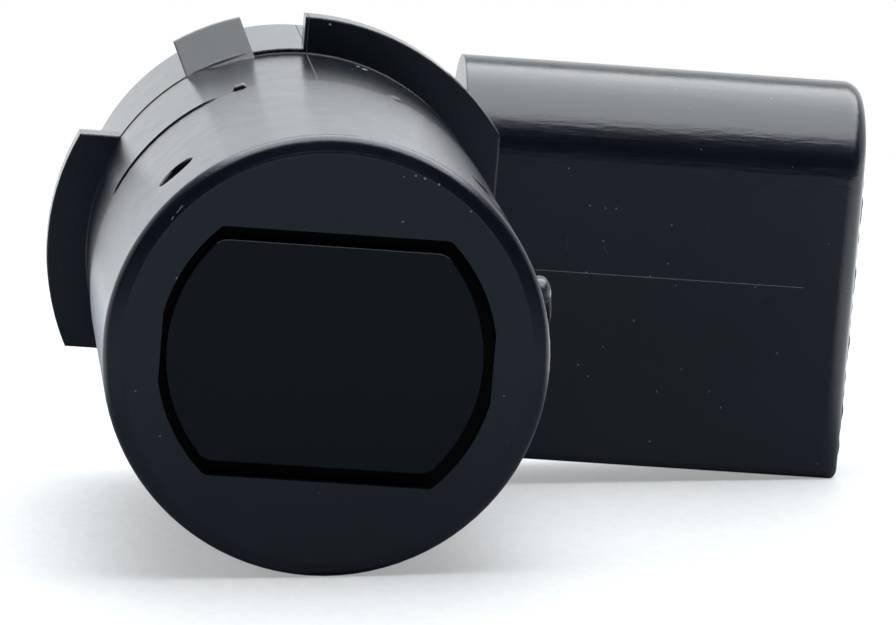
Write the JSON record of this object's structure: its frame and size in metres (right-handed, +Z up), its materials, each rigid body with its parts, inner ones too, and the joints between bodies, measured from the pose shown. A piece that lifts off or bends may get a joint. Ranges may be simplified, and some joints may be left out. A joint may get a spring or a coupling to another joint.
{
  "type": "parking sensor",
  "caption": "Ultrasonic parking sensor with a round barrel, a double-D membrane in its front, fixing tabs round the rear and a side connector shroud.",
  "frame": {"origin": "centre of the front face, on the barrel's axis", "axes": "-Y out of the front face along the barrel's axis, +X towards the connector's mouth, +Z up across the barrel"},
  "size_m": [0.0486, 0.0438, 0.0286],
  "materials": {
    "housing_plastic": "satin moulded black",
    "cup_coating": "black coated aluminium",
    "soft_ring": "matt silicone rubber",
    "piezo": "fired piezo ceramic",
    "foam": "matt foam",
    "inner_plastic": "natural moulded plastic",
    "lead_red": "insulated wire",
    "lead_black": "insulated wire",
    "board": "solder mask",
    "black_plastic": "moulded epoxy",
    "ferrite": "sintered ferrite",
    "copper": "enamelled copper wire",
    "tinned_metal": "tin plated",
    "can_metal": "drawn can",
    "capacitor_body": "fired ceramic",
    "sealing_resin": "cast black resin"
  },
  "bodies": {
    "root": {"housing": "housing_plastic", "transducer_cup": "cup_coating", "decoupling_ring": "soft_ring", "piezo_disc": "piezo", "damping_pad": "foam", "retaining_ring": "inner_plastic", "lead_signal": "lead_red", "lead_ground": "lead_black", "circuit_board": "board", "transformer_base": "black_plastic", "transformer_core": "ferrite", "transformer_winding": "copper", "controller_chip": "black_plastic", "chip_legs": "tinned_metal", "tank_capacitor": "can_metal", "ceramic_capacitors": "capacitor_body", "chip_resistors": "black_plastic", "clamp_diode": "black_plastic", "terminal_supply": "tinned_metal", "terminal_data": "tinned_metal", "terminal_ground": "tinned_metal", "solder_joints": "tinned_metal", "potting_compound": "sealing_resin"}
  },
  "joints": []
}
